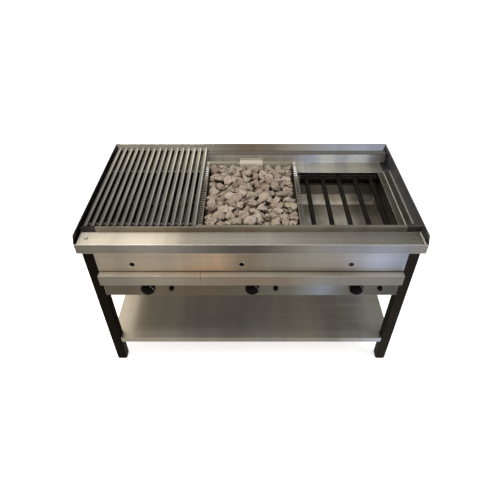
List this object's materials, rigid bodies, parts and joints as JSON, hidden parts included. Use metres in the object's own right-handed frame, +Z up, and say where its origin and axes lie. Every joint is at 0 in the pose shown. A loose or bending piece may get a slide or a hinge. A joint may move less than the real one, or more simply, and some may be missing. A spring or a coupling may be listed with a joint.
{
  "type": "charbroiler grill",
  "caption": "Free-standing gas charbroiler with a lift-off bar grate, a lava rock basket, an open burner bay, pull-out drip trays, push-and-turn knobs and an undershelf.",
  "frame": {"origin": "on the floor, under the centre of the outside box", "axes": "+Z up, +X to the cook's right, +Y from the front lip to the back; the cook stands on the -Y side"},
  "size_m": [1.2, 0.645, 0.728],
  "materials": {
    "stainless": "satin brushed stainless sheet, grain running across the grill",
    "hearth_steel": "brushed stainless, heat tinted and slightly stained",
    "tray_steel": "brushed stainless with grease staining inside",
    "grate_steel": "seasoned steel bars, worn brighter along the searing edge",
    "basket_steel": "brushed stainless, heat darkened",
    "burner_iron": "dark oxidised cast iron",
    "dark_steel": "dull dark steel",
    "leg_paint": "satin brown-black paint",
    "cap_plastic": "matt black moulded plastic",
    "knob_plastic": "semi-gloss black moulded plastic",
    "button_plastic": "semi-gloss black moulded plastic",
    "valve_brass": "machined brass",
    "electrode_ceramic": "white ceramic",
    "lava_rock": "porous pinkish grey lava rock"
  },
  "bodies": {
    "frame": {"back_panel": "stainless", "backsplash": "stainless", "burner_left": "burner_iron", "burner_middle": "burner_iron", "burner_right": "burner_iron", "burner_support_front": "dark_steel", "burner_support_rear": "dark_steel", "control_panel": "stainless", "feed_pipe_left": "dark_steel", "feed_pipe_middle": "dark_steel", "feed_pipe_right": "dark_steel", "firebox": "hearth_steel", "foot_cap_front_left": "cap_plastic", "foot_cap_front_right": "cap_plastic", "foot_cap_rear_left": "cap_plastic", "foot_cap_rear_right": "cap_plastic", "frame_rail_left": "leg_paint", "frame_rail_right": "leg_paint", "front_ledge": "stainless", "front_panel": "stainless", "front_riser": "hearth_steel", "gas_valve_left": "valve_brass", "gas_valve_middle": "valve_brass", "gas_valve_right": "valve_brass", "hearth_filler_left": "hearth_steel", "hearth_filler_right": "hearth_steel", "igniter_body_left": "button_plastic", "igniter_body_middle": "button_plastic", "igniter_body_right": "button_plastic", "leg_front_left": "leg_paint", "leg_front_right": "leg_paint", "leg_rear_left": "leg_paint", "leg_rear_right": "leg_paint", "main_gas_pipe": "dark_steel", "rear_rail": "hearth_steel", "side_panel_left": "stainless", "side_panel_right": "stainless", "side_splash_left": "stainless", "side_splash_right": "stainless", "spark_electrode_left": "electrode_ceramic", "spark_electrode_middle": "electrode_ceramic", "spark_electrode_right": "electrode_ceramic", "tray_runner_left": "stainless", "tray_runner_middle": "stainless", "tray_runner_right": "stainless", "undershelf": "stainless"},
    "stem_left_body": {"valve_stem_left": "valve_brass"},
    "knob_left_body": {"knob_left": "knob_plastic"},
    "button_left_body": {"igniter_button_left": "button_plastic"},
    "stem_middle_body": {"valve_stem_middle": "valve_brass"},
    "knob_middle_body": {"knob_middle": "knob_plastic"},
    "button_middle_body": {"igniter_button_middle": "button_plastic"},
    "stem_right_body": {"valve_stem_right": "valve_brass"},
    "knob_right_body": {"knob_right": "knob_plastic"},
    "button_right_body": {"igniter_button_right": "button_plastic"},
    "drip_tray_left_body": {"drip_tray_left": "tray_steel"},
    "drip_tray_right_body": {"drip_tray_right": "tray_steel"},
    "grate_body": {"cooking_grate": "grate_steel"},
    "basket_body": {"rock_basket": "basket_steel", "lava_rock_bed": "lava_rock"}
  },
  "joints": [
    {"name": "knob_push_left", "type": "slide", "parent": "frame", "child": "stem_left_body", "axis": [0, 1, 0], "range_m": [0, 0.003]},
    {"name": "knob_turn_left", "type": "hinge", "parent": "stem_left_body", "child": "knob_left_body", "pos_m": [-0.389, -0.3125, 0.46], "axis": [0, -1, 0], "range_deg": [0, 180]},
    {"name": "knob_push_middle", "type": "slide", "parent": "frame", "child": "stem_middle_body", "axis": [0, 1, 0], "range_m": [0, 0.003]},
    {"name": "knob_turn_middle", "type": "hinge", "parent": "stem_middle_body", "child": "knob_middle_body", "pos_m": [0.004, -0.3125, 0.46], "axis": [0, -1, 0], "range_deg": [0, 180]},
    {"name": "knob_push_right", "type": "slide", "parent": "frame", "child": "stem_right_body", "axis": [0, 1, 0], "range_m": [0, 0.003]},
    {"name": "knob_turn_right", "type": "hinge", "parent": "stem_right_body", "child": "knob_right_body", "pos_m": [0.397, -0.3125, 0.46], "axis": [0, -1, 0], "range_deg": [0, 180]},
    {"name": "igniter_push_left", "type": "slide", "parent": "frame", "child": "button_left_body", "axis": [0, 1, 0], "range_m": [0, 0.003]},
    {"name": "igniter_push_middle", "type": "slide", "parent": "frame", "child": "button_middle_body", "axis": [0, 1, 0], "range_m": [0, 0.003]},
    {"name": "igniter_push_right", "type": "slide", "parent": "frame", "child": "button_right_body", "axis": [0, 1, 0], "range_m": [0, 0.003]},
    {"name": "drip_tray_left_pull", "type": "slide", "parent": "frame", "child": "drip_tray_left_body", "axis": [0, -1, 0], "range_m": [0, 0.42]},
    {"name": "drip_tray_right_pull", "type": "slide", "parent": "frame", "child": "drip_tray_right_body", "axis": [0, -1, 0], "range_m": [0, 0.42]},
    {"name": "grate_lift", "type": "slide", "parent": "frame", "child": "grate_body", "axis": [0, 0, 1], "range_m": [0, 0.15]},
    {"name": "basket_lift", "type": "slide", "parent": "frame", "child": "basket_body", "axis": [0, 0, 1], "range_m": [0, 0.15]}
  ]
}
